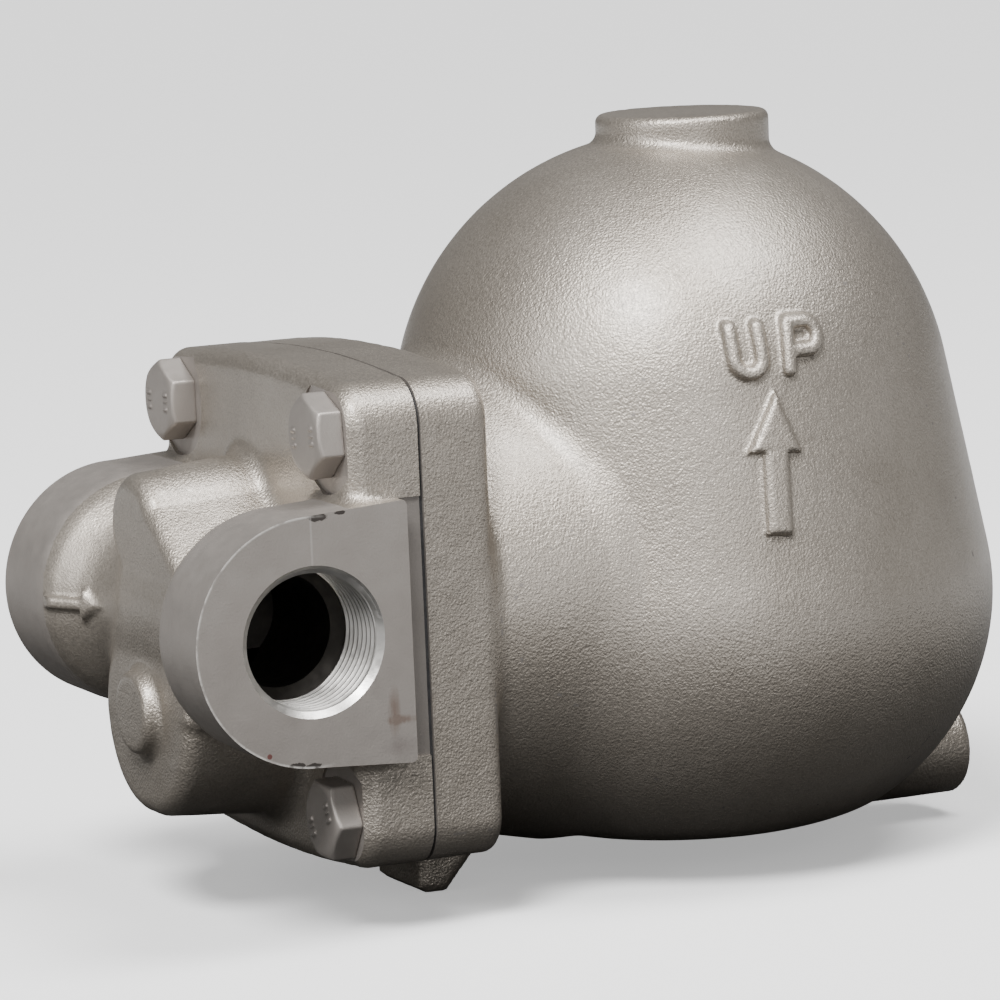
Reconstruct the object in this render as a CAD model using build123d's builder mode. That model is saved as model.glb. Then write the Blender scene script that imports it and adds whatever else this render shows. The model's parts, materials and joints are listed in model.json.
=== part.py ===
"""Ball float steam trap with a balanced-pressure air vent, screwed one-inch ports.

Every sub-part is drawn about the middle of the pipe run: x = 0 is midway between
the port faces, +X runs with the flow from inlet to outlet, +Y from the connection
body towards the float chamber, +Z up.  The files are written with the origin moved
along the pipe axis to the centre of the inlet port's face.  Millimetres.
"""
from build123d import *
import os
from math import asin, atan2, cos, degrees, hypot, radians, sin, sqrt, tan

# ---- connection body ---------------------------------------------------------
PORT_X = 60.0            # port faces at +X and -X
BOSS_R = 28.2            # outer radius of both port bosses
BOSS_INNER_X = 36.0      # where a boss starts to taper into its pipe
PIPE_R = 17.5            # cast pipe between boss and hub
PIPE_X = 22.0            # where the taper reaches the pipe
BOSS_FLAT_Y = 23.8       # straight edge of the D-shaped port face
BOSS_FLARE = 3.6         # degrees that the D's flat sides open towards the flange
THREAD_R = 16.6          # wall of the threaded port
THREAD_LENGTH = 19.0
PORT_CHAMFER = 1.0
PASSAGE_R = 13.0
OUTLET_END_X = 6.0       # inner end of the outlet passage, on the discharge chamber
INLET_END_X = 20.0       # inner end of the inlet passage, on the inlet window
WINDOW_X = 30.0          # centre of the window from the inlet into the float chamber
WINDOW_Z = 1.0
WINDOW_SIDE = 20.0
WINDOW_CORNER_R = 5.0

# ---- joint between body and cover ---------------------------------------------
JOINT_Y = 29.2
GASKET_T = 0.8
FLANGE_HALF_X = 55.3
FLANGE_TOP = 57.6        # height of the arched edge on the centre line
FLANGE_SHOULDER = 54.2   # height of the arched edge above the corner
FLANGE_CORNER_R = 9.0
BODY_FLANGE_T = 17.2
COVER_FLANGE_T = 17.2
BODY_FLANGE_EDGE_R = 4.5
COVER_FLANGE_EDGE_R = 3.0
BOLT_X = 43.4
BOLT_Z = 43.5
BOLT_HOLE_R = 5.5
BOLT_R = 5.0
SPOT_FACE_R = 13.5       # flat that each bolt head seats on
SPOT_FACE_DEPTH = 0.8
TAPPED_R = 5.06
TAPPED_DEPTH = 14.5
OPENING_R = 42.0
OPENING_SLOPE = 0.12

# ---- hub on the front of the body ---------------------------------------------
HUB_FRONT_Y = -17.5
HUB_DRAFT = 4.0
VALVE_Z = -22.0          # axis of the main valve
HUB_LOBE_R = 24.5
VENT_X = -4.0            # axis of the air vent
VENT_Z = 19.5
VENT_LOBE_R = 12.5
BUTTON_R = 10.7
BUTTON_T = 3.6
HUB_EDGE_R = 1.6
DISCHARGE_R = 14.0       # chamber behind the main valve seat
DISCHARGE_FRONT_Y = -8.0
DISCHARGE_BACK_Y = 14.0
SEAT_HOLE_R = 9.1
DEFLECTOR_HOLE_R = 4.1
VENT_CHAMBER_R = 6.5
VENT_CHAMBER_BACK_Y = 18.0
VENT_HOLE_R = 5.1
DRILLING_R = 4.5         # slanted drilling from the vent down to the outlet
DRILLING_LENGTH = 20.0

# ---- float chamber --------------------------------------------------------------
CHAMBER_Y = 120.5        # vertical axis of the egg-shaped chamber
WALL = 7.5
BELLY_R = 75.0           # widest radius, at BELLY_Z
BELLY_Z = -9.0
SIDE_ARC_R = 58.0
BOTTOM_Z = -69.8
DOME_R = 66.3
DOME_Z = 101.5
NECK_R = 50.5            # neck where it leaves the flange
NECK_SLOPE = 0.2         # growth of the neck's radius per millimetre
NECK_END_Y = 100.0
TOP_BOSS_Y = 126.0
TOP_BOSS_R = 20.6
TOP_BOSS_Z = 106.0
TOP_BOSS_EDGE_R = 2.5
DRAIN_R = 12.0
DRAIN_Z = -54.0
DRAIN_END_Y = 193.0
FOOT_HALF_X = 13.0
FOOT_Z = -71.0

# ---- float, lever and main valve ---------------------------------------------------
PIVOT_Y = 44.0
PIVOT_Z = -6.0
PIN_R = 3.0
PIN_CLEARANCE = 0.06
FLOAT_R = 42.0
FLOAT_WALL = 1.0
FLOAT_Y = 120.0
FLOAT_Z = -16.0
ORIFICE_R = 4.0
SEAT_NOSE_Y = 38.2
VALVE_R = 6.5
VALVE_GAP = 0.25
EAR_X = 17.0             # inner face of the pivot frame's ears
EAR_T = 2.5
FRAME_SCREW_X = 24.0
FRAME_SCREW_HOLE_R = 2.55
SCREW_HOLE_DEPTH = 10.0
SEAT_FLATS = 22.0
SEAT_R = 9.0
SEAT_BORE_R = 6.5

# ---- air vent -----------------------------------------------------------------------
CAPSULE_R = 14.0
CAPSULE_Y = 38.6
CAPSULE_T = 7.0
VENT_TRAVEL = 1.5
VENT_STEM_R = 1.5
VENT_SCREW_X = 19.6
VENT_STRAP_X = 16.0
VENT_SCREW_HOLE_R = 2.05

COVER_FACE_Y = JOINT_Y + GASKET_T
FLANGE_FRONT_Y = JOINT_Y - BODY_FLANGE_T
FLANGE_BACK_Y = COVER_FACE_Y + COVER_FLANGE_T
BOLT_SEAT_Y = FLANGE_FRONT_Y + SPOT_FACE_DEPTH
BOLT_PLACES = [(BOLT_X, BOLT_Z), (BOLT_X, -BOLT_Z), (-BOLT_X, BOLT_Z), (-BOLT_X, -BOLT_Z)]

os.makedirs("parts", exist_ok=True)


def facing_front(y):
    """Plane at height y whose local x is +X, local y is +Z and normal is -Y."""
    return Plane.XZ.offset(-y)


def save(part, label):
    """Move a finished sub-part's origin to the inlet port, label it and write its STEP file."""
    placed = part.moved(Location((PORT_X, 0, 0)))
    placed.label = label
    export_step(placed, f"parts/{label}.step")
    print(f"{label:24s} {placed.volume / 1000:9.2f} cm3")


def flange_outline(inset=0.0):
    """Square flange outline whose top and bottom edges are slightly arched."""
    half_x = FLANGE_HALF_X - inset
    top, shoulder = FLANGE_TOP - inset, FLANGE_SHOULDER - inset
    with BuildSketch() as outline:
        with BuildLine():
            ThreePointArc((-half_x, shoulder), (0, top), (half_x, shoulder))
            Line((half_x, shoulder), (half_x, -shoulder))
            ThreePointArc((half_x, -shoulder), (0, -top), (-half_x, -shoulder))
            Line((-half_x, -shoulder), (-half_x, shoulder))
        make_face()
        fillet(outline.vertices(), FLANGE_CORNER_R)
    return outline.sketch


def hexagon(across_flats, turn=0.0):
    """Hexagon of a given width across flats, turned by some degrees."""
    with BuildSketch() as outline:
        RegularPolygon(across_flats / 2, 6, major_radius=False, rotation=turn)
    return outline.sketch


# ==== body casting ====================================================================
def boss_profile():
    """D-shaped section of a port boss in the YZ plane, flats flaring to the flange."""
    rise = BOSS_FLAT_Y * tan(radians(BOSS_FLARE))
    with BuildSketch() as outline:
        with BuildLine():
            ThreePointArc((0, -BOSS_R), (-BOSS_R, 0), (0, BOSS_R))
            Line((0, BOSS_R), (BOSS_FLAT_Y, BOSS_R + rise))
            Line((BOSS_FLAT_Y, BOSS_R + rise), (BOSS_FLAT_Y, -BOSS_R - rise))
            Line((BOSS_FLAT_Y, -BOSS_R - rise), (0, -BOSS_R))
        make_face()
    return outline.sketch


def hub_profile():
    """Outline of the hub's front: a round valve lobe and a vent lobe that slopes to the outlet."""
    with BuildSketch() as outline:
        with Locations((0, VALVE_Z)):
            Circle(HUB_LOBE_R)
        with Locations((VENT_X, VENT_Z)):
            Circle(VENT_LOBE_R)
        with BuildLine():
            Polyline((VENT_X - VENT_LOBE_R + 1.0, VENT_Z), (VENT_X, VENT_Z + VENT_LOBE_R - 0.5),
                     (0, 31.0), (24.0, 12.5), (24.5, VALVE_Z), (-13.5, VALVE_Z), (-13.5, 2.0),
                     close=True)
        make_face()
    return outline.sketch


with BuildPart() as body:
    with BuildSketch(facing_front(JOINT_Y)):
        add(flange_outline())
    extrude(amount=BODY_FLANGE_T)
    fillet(body.faces().sort_by(Axis.Y)[0].edges(), BODY_FLANGE_EDGE_R)
    # both port bosses and the cast pipe that joins them to the hub
    for side in (1, -1):
        with BuildSketch(Plane.YZ.offset(side * BOSS_INNER_X)):
            add(boss_profile())
        extrude(amount=side * (PORT_X - BOSS_INNER_X))
        with BuildSketch(Plane.XY):
            with BuildLine():
                Polyline((side * BOSS_INNER_X, 0), (side * BOSS_INNER_X, -BOSS_R),
                         (side * PIPE_X, -PIPE_R), (0, -PIPE_R), (0, 0), close=True)
            make_face()
        revolve(axis=Axis.X)
    # hub, drafted towards its front, with a blind button on the valve axis
    with BuildSketch(facing_front(HUB_FRONT_Y)):
        add(hub_profile())
    extrude(amount=-(FLANGE_FRONT_Y - HUB_FRONT_Y + 2.0), taper=-HUB_DRAFT)
    with BuildSketch(facing_front(HUB_FRONT_Y)):
        with Locations((0, VALVE_Z)):
            Circle(BUTTON_R)
    extrude(amount=BUTTON_T)
    fillet(body.faces().sort_by(Axis.Y)[0].edges(), HUB_EDGE_R)
    # flat seats for the bolt heads
    with BuildSketch(facing_front(BOLT_SEAT_Y)):
        with Locations(*BOLT_PLACES):
            Circle(SPOT_FACE_R)
    extrude(amount=6.0, mode=Mode.SUBTRACT)
    with BuildSketch(facing_front(JOINT_Y)):
        with Locations(*BOLT_PLACES):
            Circle(BOLT_HOLE_R)
    extrude(amount=BODY_FLANGE_T + 8.0, mode=Mode.SUBTRACT)
    # threaded ports and their passages
    for side, depth_x in ((1, OUTLET_END_X), (-1, INLET_END_X)):
        with BuildSketch(Plane.YZ.offset(side * PORT_X)):
            Circle(THREAD_R)
        extrude(amount=-side * THREAD_LENGTH, mode=Mode.SUBTRACT)
        with BuildSketch(Plane.YZ.offset(side * PORT_X)):
            Circle(PASSAGE_R)
        extrude(amount=-side * (PORT_X - depth_x), mode=Mode.SUBTRACT)
        rings = body.edges().filter_by(GeomType.CIRCLE)
        mouth = rings.filter_by(lambda e, x=side * PORT_X: abs(e.arc_center.X - x) < 0.01)
        chamfer(mouth.filter_by(lambda e: abs(e.radius - THREAD_R) < 0.01), PORT_CHAMFER)
    # inlet window into the float chamber
    with BuildSketch(facing_front(JOINT_Y)):
        with Locations((-WINDOW_X, WINDOW_Z)):
            RectangleRounded(WINDOW_SIDE, WINDOW_SIDE, WINDOW_CORNER_R)
    extrude(amount=JOINT_Y, mode=Mode.SUBTRACT)
    # discharge chamber behind the main valve seat, and the seat's tapped hole
    with BuildSketch(facing_front(DISCHARGE_BACK_Y)):
        with Locations((0, VALVE_Z)):
            Circle(DISCHARGE_R)
    extrude(amount=DISCHARGE_BACK_Y - DISCHARGE_FRONT_Y, mode=Mode.SUBTRACT)
    with BuildSketch(facing_front(JOINT_Y)):
        with Locations((0, VALVE_Z)):
            Circle(SEAT_HOLE_R)
    extrude(amount=16.0, mode=Mode.SUBTRACT)
    # hole for the erosion deflector's stud, in the far wall of the discharge chamber
    with BuildSketch(facing_front(DISCHARGE_FRONT_Y + 1.0)):
        with Locations((0, VALVE_Z)):
            Circle(DEFLECTOR_HOLE_R)
    extrude(amount=7.0, mode=Mode.SUBTRACT)
    # vent chamber, its tapped hole, and the drilling down to the outlet
    with BuildSketch(facing_front(VENT_CHAMBER_BACK_Y)):
        with Locations((VENT_X, VENT_Z)):
            Circle(VENT_CHAMBER_R)
    extrude(amount=VENT_CHAMBER_BACK_Y - DISCHARGE_FRONT_Y, mode=Mode.SUBTRACT)
    with BuildSketch(facing_front(JOINT_Y)):
        with Locations((VENT_X, VENT_Z)):
            Circle(VENT_HOLE_R)
    extrude(amount=12.0, mode=Mode.SUBTRACT)
    drilling = Plane(origin=(VENT_X, 0, VENT_Z), z_dir=(16.0, 0, -17.0))
    with BuildSketch(drilling):
        Circle(DRILLING_R)
    extrude(amount=DRILLING_LENGTH, mode=Mode.SUBTRACT)
    # tapped holes for the pivot frame and vent strap screws
    with BuildSketch(facing_front(JOINT_Y)):
        with Locations((FRAME_SCREW_X, VALVE_Z), (-FRAME_SCREW_X, VALVE_Z)):
            Circle(FRAME_SCREW_HOLE_R)
        with Locations((VENT_X + VENT_SCREW_X, VENT_Z), (VENT_X - VENT_SCREW_X, VENT_Z)):
            Circle(VENT_SCREW_HOLE_R)
    extrude(amount=SCREW_HOLE_DEPTH, mode=Mode.SUBTRACT)
save(body.part, "body_casting")


# ==== float chamber cover ================================================================
# The chamber's section is a chain of tangent curves: a dome arc, a straight flank, a side
# arc round the belly and a flat bottom arc.  The two angles, in degrees above the
# horizontal, are the directions in which the flank and the bottom arc meet the side arc.
SIDE_C = BELLY_R - SIDE_ARC_R
DOME_C_Z = DOME_Z - DOME_R
DROP = BELLY_Z - BOTTOM_Z
BOTTOM_R = (SIDE_C**2 + DROP**2 - SIDE_ARC_R**2) / (2 * (DROP - SIDE_ARC_R))
BOTTOM_C_Z = BOTTOM_Z + BOTTOM_R
CENTRE_RISE = DOME_C_Z - BELLY_Z
FLANK_ANGLE = degrees(asin((SIDE_ARC_R - DOME_R) / hypot(CENTRE_RISE, SIDE_C))
                      + atan2(SIDE_C, CENTRE_RISE))
BOTTOM_ANGLE = -degrees(atan2(BOTTOM_C_Z - BELLY_Z, SIDE_C))


def egg_arc(centre_r, centre_z, arc_r, start, end):
    """Arc of the chamber's section between two directions in degrees."""
    points = [(CHAMBER_Y + centre_r + arc_r * cos(radians(a)), centre_z + arc_r * sin(radians(a)))
              for a in (start, (start + end) / 2, end)]
    return ThreePointArc(*points)


def egg(shrink=0.0):
    """Half section of the chamber, moved inwards by a wall thickness."""
    with BuildSketch() as outline:
        with BuildLine():
            bottom = egg_arc(0, BOTTOM_C_Z, BOTTOM_R - shrink, -90, BOTTOM_ANGLE)
            belly = egg_arc(SIDE_C, BELLY_Z, SIDE_ARC_R - shrink, BOTTOM_ANGLE, FLANK_ANGLE)
            dome = egg_arc(0, DOME_C_Z, DOME_R - shrink, FLANK_ANGLE, 90)
            Line(belly @ 1, dome @ 0)
            Line(dome @ 1, bottom @ 0)
        make_face()
    return outline.sketch


with BuildPart() as cover:
    with BuildSketch(facing_front(FLANGE_BACK_Y)):
        add(flange_outline())
    extrude(amount=COVER_FLANGE_T)
    fillet(cover.faces().sort_by(Axis.Y)[-1].edges(), COVER_FLANGE_EDGE_R)
    # conical neck from the flange into the chamber
    neck_run = NECK_END_Y - COVER_FACE_Y - 2.0
    with BuildSketch(Plane.XY):
        with BuildLine():
            Polyline((0, COVER_FACE_Y + 2.0), (NECK_R - 3.0, COVER_FACE_Y + 2.0),
                     (NECK_R - 3.0 + neck_run * NECK_SLOPE, NECK_END_Y), (0, NECK_END_Y), close=True)
        make_face()
    revolve(axis=Axis.Y)
    with BuildSketch(Plane.YZ):
        add(egg())
    revolve(axis=Axis((0, CHAMBER_Y, 0), (0, 0, 1)))
    # blind bosses: one on the crown, one low at the back
    with BuildSketch(Plane.XY.offset(80.0)):
        with Locations((0, TOP_BOSS_Y)):
            Circle(TOP_BOSS_R)
    extrude(amount=TOP_BOSS_Z - 80.0)
    fillet(cover.faces().sort_by(Axis.Z)[-1].edges(), TOP_BOSS_EDGE_R)
    with BuildSketch(facing_front(DRAIN_END_Y)):
        with Locations((0, DRAIN_Z)):
            Circle(DRAIN_R)
    extrude(amount=45.0)
    # foot under the joint, where the casting was gated
    with BuildSketch(Plane.YZ.offset(-FOOT_HALF_X)):
        with BuildLine():
            Polyline((44.0, -48.0), (44.0, FOOT_Z + 1.0), (45.0, FOOT_Z), (50.0, FOOT_Z),
                     (52.0, FOOT_Z + 1.5), (64.0, -52.0), (64.0, -48.0), close=True)
        make_face()
    extrude(amount=2 * FOOT_HALF_X)
    # hollow inside
    with BuildSketch(Plane.YZ):
        add(egg(WALL))
    revolve(axis=Axis((0, CHAMBER_Y, 0), (0, 0, 1)), mode=Mode.SUBTRACT)
    with BuildSketch(Plane.XY):
        with BuildLine():
            Polyline((0, COVER_FACE_Y), (OPENING_R, COVER_FACE_Y),
                     (OPENING_R + 1.0 + (NECK_END_Y - FLANGE_BACK_Y) * OPENING_SLOPE, NECK_END_Y),
                     (0, NECK_END_Y), close=True)
        make_face()
    revolve(axis=Axis.Y, mode=Mode.SUBTRACT)
    # blind tapped holes for the cover bolts
    with BuildSketch(facing_front(COVER_FACE_Y)):
        with Locations(*BOLT_PLACES):
            Circle(TAPPED_R)
    extrude(amount=-TAPPED_DEPTH, mode=Mode.SUBTRACT)
save(cover.part, "float_chamber_cover")

# ==== joint: gasket and bolts ================================================================
with BuildPart() as gasket:
    with BuildSketch(facing_front(COVER_FACE_Y)):
        add(flange_outline(inset=0.9))
        Circle(OPENING_R + 0.6, mode=Mode.SUBTRACT)
        with Locations(*BOLT_PLACES):
            Circle(BOLT_HOLE_R, mode=Mode.SUBTRACT)
    extrude(amount=GASKET_T)
save(gasket.part, "cover_gasket")

BOLT_FLATS = 17.0
BOLT_HEAD = 6.4
BOLT_END_Y = COVER_FACE_Y + 13.0
BOLT_TURNS = (7.0, 27.0, 0.5, 41.0)    # degrees each head stopped at

with BuildPart() as bolts:
    for (bolt_x, bolt_z), turn in zip(BOLT_PLACES, BOLT_TURNS):
        with BuildSketch(facing_front(BOLT_SEAT_Y)):
            with Locations((bolt_x, bolt_z)):
                add(hexagon(BOLT_FLATS, turn + 30.0))
        extrude(amount=BOLT_HEAD)
        with BuildSketch(facing_front(BOLT_SEAT_Y)):
            with Locations((bolt_x, bolt_z)):
                Circle(BOLT_R)
        extrude(amount=-(BOLT_END_Y - BOLT_SEAT_Y))
    # chamfer the corners of every head with one ring-shaped cut each
    for bolt_x, bolt_z in BOLT_PLACES:
        front_y = BOLT_SEAT_Y - BOLT_HEAD
        head_axis = Axis((bolt_x, 0, bolt_z), (0, 1, 0))
        with BuildSketch(Plane.XY.offset(bolt_z)):
            with BuildLine():
                Polyline((bolt_x + 7.9, front_y), (bolt_x + 11.0, front_y),
                         (bolt_x + 11.0, front_y + 1.8), close=True)
            make_face()
        revolve(axis=head_axis, mode=Mode.SUBTRACT)
save(bolts.part, "cover_bolts")

# ==== main valve ===============================================================================
SEAT_FLANGE_Y = JOINT_Y + 1.0
valve_axis = Axis((0, 0, VALVE_Z), (0, 1, 0))

with BuildPart() as seat_gasket:
    with BuildSketch(facing_front(SEAT_FLANGE_Y)):
        with Locations((0, VALVE_Z)):
            Circle(12.4)
            Circle(9.3, mode=Mode.SUBTRACT)
    extrude(amount=1.0)
save(seat_gasket.part, "main_seat_gasket")

with BuildPart() as seat:
    with BuildSketch(facing_front(SEAT_FLANGE_Y)):
        with Locations((0, VALVE_Z)):
            add(hexagon(SEAT_FLATS))
    extrude(amount=-5.0)
    with BuildSketch(Plane.XY.offset(VALVE_Z)):
        with BuildLine():
            Polyline((0, 16.0), (SEAT_R - 1.0, 16.0), (SEAT_R, 17.0), (SEAT_R, SEAT_FLANGE_Y + 1.0),
                     (7.5, SEAT_FLANGE_Y + 1.0), (7.5, SEAT_NOSE_Y - 1.0), (6.5, SEAT_NOSE_Y),
                     (0, SEAT_NOSE_Y), close=True)
        make_face()
    revolve(axis=valve_axis)
    with BuildSketch(Plane.XY.offset(VALVE_Z)):
        with BuildLine():
            Polyline((0, 15.0), (SEAT_BORE_R, 15.0), (SEAT_BORE_R, 26.0), (ORIFICE_R, 29.0),
                     (ORIFICE_R, SEAT_NOSE_Y - 0.6), (ORIFICE_R + 0.6, SEAT_NOSE_Y),
                     (0, SEAT_NOSE_Y), close=True)
        make_face()
    revolve(axis=valve_axis, mode=Mode.SUBTRACT)
save(seat.part, "main_valve_seat")

# disc and stud that take the jet from the orifice off the casting wall
with BuildPart() as deflector:
    with BuildSketch(Plane.XY.offset(VALVE_Z)):
        with BuildLine():
            Polyline((0, -13.5), (4.0, -13.5), (4.0, -7.9), (10.0, -7.9), (10.0, -5.4), (8.0, -4.4),
                     (4.0, -5.4), (0, -5.4), close=True)
        make_face()
    revolve(axis=valve_axis)
save(deflector.part, "erosion_deflector")

# valve centre lies where a sphere would touch the orifice edge, less a hair of clearance
VALVE_Y = SEAT_NOSE_Y + sqrt(VALVE_R**2 - (ORIFICE_R + 0.6)**2) + VALVE_GAP
LEG_Y = VALVE_Y + 3.6    # front of the lever's hanging leg

STEM_R = 2.4             # stem through the leg
STEM_LENGTH = 4.6

with BuildPart() as valve_head:
    with BuildSketch(Plane.XY.offset(VALVE_Z)):
        with BuildLine():
            flat_r = sqrt(VALVE_R**2 - (LEG_Y - VALVE_Y)**2)
            nose = (0, VALVE_Y - VALVE_R)
            waist = (VALVE_R * cos(radians(20)), VALVE_Y - VALVE_R * sin(radians(20)))
            ThreePointArc(nose, waist, (flat_r, LEG_Y))
            Polyline((flat_r, LEG_Y), (STEM_R, LEG_Y), (STEM_R, LEG_Y + STEM_LENGTH),
                     (0, LEG_Y + STEM_LENGTH), nose)
        make_face()
    revolve(axis=valve_axis)
save(valve_head.part, "main_valve_head")

LEG_T = 2.5
with BuildPart() as valve_washer:
    with BuildSketch(facing_front(LEG_Y + LEG_T + 1.2)):
        with Locations((0, VALVE_Z)):
            Circle(4.8)
            Circle(STEM_R + 0.05, mode=Mode.SUBTRACT)
    extrude(amount=1.2)
save(valve_washer.part, "valve_head_washer")

# ==== frames that carry the pivot ================================================================
SUPPORT_T = 1.5
PIVOT_FRAME_Y = JOINT_Y + SUPPORT_T


def frame_base():
    """Base plate outline: a collar round the valve seat with a screw tab on each side."""
    with BuildSketch() as outline:
        with Locations((0, VALVE_Z)):
            RectangleRounded(2 * (EAR_X + EAR_T), 29.0, 4.0)
            RectangleRounded(2 * FRAME_SCREW_X + 11.0, 12.0, 3.0)
            Circle(13.2, mode=Mode.SUBTRACT)
        with Locations((FRAME_SCREW_X, VALVE_Z), (-FRAME_SCREW_X, VALVE_Z)):
            Circle(2.7, mode=Mode.SUBTRACT)
    return outline.sketch


with BuildPart() as support_frame:
    with BuildSketch(facing_front(PIVOT_FRAME_Y)):
        add(frame_base())
    extrude(amount=SUPPORT_T)
save(support_frame.part, "support_frame")

with BuildPart() as pivot_frame:
    with BuildSketch(facing_front(PIVOT_FRAME_Y)):
        add(frame_base())
    extrude(amount=-EAR_T)
    for side in (1, -1):
        with BuildSketch(Plane.YZ.offset(side * EAR_X)):
            with BuildLine():
                Polyline((PIVOT_FRAME_Y, -32.0), (PIVOT_FRAME_Y, -12.0), (PIVOT_Y - 6.0, PIVOT_Z + 6.0),
                         (PIVOT_Y + 3.0, PIVOT_Z + 6.0), (PIVOT_Y + 6.0, PIVOT_Z + 2.0),
                         (PIVOT_Y + 6.0, PIVOT_Z - 6.0), (PIVOT_Y - 6.0, -26.0),
                         (PIVOT_FRAME_Y + 2.5, -32.0), close=True)
            make_face()
            with Locations((PIVOT_Y, PIVOT_Z)):
                Circle(PIN_R + PIN_CLEARANCE, mode=Mode.SUBTRACT)
        extrude(amount=side * EAR_T)
save(pivot_frame.part, "pivot_frame")


def cheese_screws(places, seat_y, shank_r, head_r, head_h, depth):
    """Slotted screws with heads on seat_y facing +Y and shanks reaching into the body."""
    with BuildPart() as screws:
        with BuildSketch(facing_front(seat_y)):
            with Locations(*places):
                Circle(shank_r)
        extrude(amount=depth)
        with BuildSketch(facing_front(seat_y)):
            with Locations(*places):
                Circle(head_r)
        extrude(amount=-head_h)
        with BuildSketch(facing_front(seat_y + head_h)):
            with Locations(*places):
                Rectangle(2 * head_r + 1.0, 1.0)
        extrude(amount=1.3, mode=Mode.SUBTRACT)
    return screws.part


frame_screws = cheese_screws([(FRAME_SCREW_X, VALVE_Z), (-FRAME_SCREW_X, VALVE_Z)],
                             PIVOT_FRAME_Y + EAR_T, 2.5, 4.2, 3.2, 13.0)
save(frame_screws, "pivot_frame_screws")

PIN_HALF = EAR_X + EAR_T + 3.0
with BuildPart() as pin:
    with BuildSketch(Plane.YZ.offset(-PIN_HALF)):
        with Locations((PIVOT_Y, PIVOT_Z)):
            Circle(PIN_R)
    extrude(amount=2 * PIN_HALF)
    # groove near each end for a clip
    for side in (1, -1):
        with BuildSketch(Plane.YZ.offset(side * (EAR_X + EAR_T + 0.4))):
            with Locations((PIVOT_Y, PIVOT_Z)):
                Circle(PIN_R + 1.0)
                Circle(PIN_R - 0.6, mode=Mode.SUBTRACT)
        extrude(amount=side * 1.0, mode=Mode.SUBTRACT)
save(pin.part, "pivot_pin")

with BuildPart() as clips:
    for side in (1, -1):
        with BuildSketch(Plane.YZ.offset(side * (EAR_X + EAR_T + 0.5))):
            with Locations((PIVOT_Y, PIVOT_Z)):
                Circle(5.6)
                Circle(PIN_R - 0.55, mode=Mode.SUBTRACT)
            with Locations((PIVOT_Y, PIVOT_Z - 4.0)):
                Rectangle(4.0, 8.0, mode=Mode.SUBTRACT)
        extrude(amount=side * 0.8)
save(clips.part, "pivot_pin_clips")

# ==== lever and float ================================================================================
arm_run = sqrt((FLOAT_Y - PIVOT_Y)**2 + (FLOAT_Z - PIVOT_Z)**2)
arm_dir = Vector(0, (FLOAT_Y - PIVOT_Y) / arm_run, (FLOAT_Z - PIVOT_Z) / arm_run)
# local x runs along the arm
arm_plane = Plane(origin=(0, PIVOT_Y, PIVOT_Z), x_dir=arm_dir, z_dir=(1, 0, 0))
ARM_HALF_X = 6.0
ARM_T = 3.0
STUD_START = arm_run - FLOAT_R - 12.0      # along the arm, from the pivot
ARM_END = STUD_START + 9.0
RIVETS = (STUD_START + 2.4, STUD_START + 6.6)
RIVET_HOLE_R = 1.55

with BuildPart() as lever:
    # eye that runs on the pin
    with BuildSketch(Plane.YZ.offset(-(EAR_X - 0.5))):
        with Locations((PIVOT_Y, PIVOT_Z)):
            Circle(5.2)
    extrude(amount=2 * (EAR_X - 0.5))
    # strip to the float
    with BuildSketch(arm_plane.offset(-ARM_HALF_X)):
        with Locations((ARM_END / 2, 0)):
            Rectangle(ARM_END, ARM_T)
    extrude(amount=2 * ARM_HALF_X)
    # leg that hangs behind the valve head
    with BuildSketch(Plane.YZ.offset(-ARM_HALF_X)):
        with BuildLine():
            Polyline((LEG_Y, VALVE_Z - 6.0), (LEG_Y + LEG_T, VALVE_Z - 6.0),
                     (LEG_Y + LEG_T, PIVOT_Z - 1.0), (PIVOT_Y, PIVOT_Z - 1.0),
                     (PIVOT_Y, PIVOT_Z - 4.0), (LEG_Y, PIVOT_Z - 5.0), close=True)
        make_face()
    extrude(amount=2 * ARM_HALF_X)
    # bore for the pin, hole for the valve head's stem, rivet holes
    with BuildSketch(Plane.YZ.offset(-EAR_X)):
        with Locations((PIVOT_Y, PIVOT_Z)):
            Circle(PIN_R + PIN_CLEARANCE)
    extrude(amount=2 * EAR_X, mode=Mode.SUBTRACT)
    with BuildSketch(facing_front(LEG_Y + LEG_T + 1.0)):
        with Locations((0, VALVE_Z)):
            Circle(STEM_R + 0.05)
    extrude(amount=LEG_T + 2.0, mode=Mode.SUBTRACT)
    for run in RIVETS:
        spot = arm_plane.from_local_coords(Vector(run, 0, 0))
        with BuildSketch(Plane(origin=spot, x_dir=(1, 0, 0), z_dir=arm_plane.y_dir).offset(-4.0)):
            Circle(RIVET_HOLE_R)
        extrude(amount=8.0, mode=Mode.SUBTRACT)
save(lever.part, "float_lever")

float_centre = (0, FLOAT_Y, FLOAT_Z)
with BuildPart() as ball:
    with Locations(float_centre):
        Sphere(FLOAT_R)
        Sphere(FLOAT_R - FLOAT_WALL, mode=Mode.SUBTRACT)
save(ball.part, "float_ball")

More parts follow.
